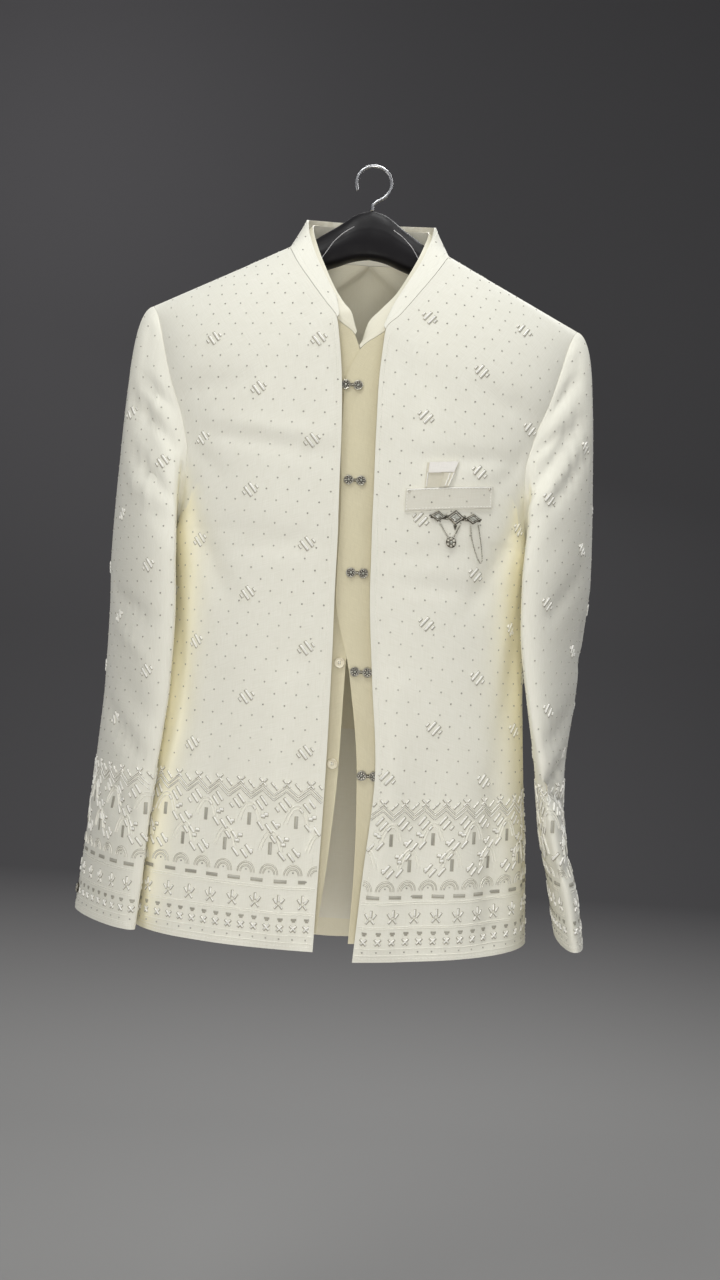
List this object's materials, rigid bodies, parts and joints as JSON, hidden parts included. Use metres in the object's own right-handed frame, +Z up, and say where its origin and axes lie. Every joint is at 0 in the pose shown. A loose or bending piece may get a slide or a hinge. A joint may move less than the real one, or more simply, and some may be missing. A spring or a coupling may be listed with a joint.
{
  "type": "indo-western sherwani jacket with waistcoat on a hanger",
  "caption": "Open-front jacket with a stand collar and embroidered borders over a satin waistcoat with metal clasps, hung on a wide moulded hanger.",
  "frame": {"origin": "underside of the hanger hook's crown, where a rail or a hand carries it", "axes": "+Z up, +X to the viewer's right as the front is seen, +Y to the garment's back"},
  "size_m": [0.5405, 0.207, 0.8354],
  "materials": {
    "ivory_cloth": "ivory jacquard cloth with woven dots and satin-stitch embroidery",
    "champagne_satin": "champagne satin with a soft sheen",
    "pale_facing": "matt pale facing cloth",
    "hanger_plastic": "dark charcoal semi-gloss moulding",
    "steel_wire": "bright steel wire",
    "antique_metal": "dark antique metal set with small clear stones",
    "pearl": "cream polished button"
  },
  "bodies": {
    "root": {"jacket_front_left": "ivory_cloth", "jacket_front_right": "ivory_cloth", "jacket_back": "ivory_cloth", "jacket_collar": "ivory_cloth", "sleeve_left": "ivory_cloth", "sleeve_right": "ivory_cloth", "chest_welt": "ivory_cloth", "pocket_square": "ivory_cloth", "vest_front_left": "champagne_satin", "vest_front_right": "champagne_satin", "vest_back": "champagne_satin", "vest_collar": "champagne_satin", "vest_back_facing": "pale_facing", "brooch_bar": "antique_metal", "brooch_drop": "antique_metal", "brooch_chain": "antique_metal", "cuff_button_left": "antique_metal", "cuff_button_right": "antique_metal", "clasp_1": "antique_metal", "clasp_2": "antique_metal", "clasp_3": "antique_metal", "clasp_4": "antique_metal", "clasp_5": "antique_metal", "vest_button_1": "pearl", "vest_button_2": "pearl", "hanger_body": "hanger_plastic", "hanger_hook": "steel_wire"}
  },
  "joints": []
}
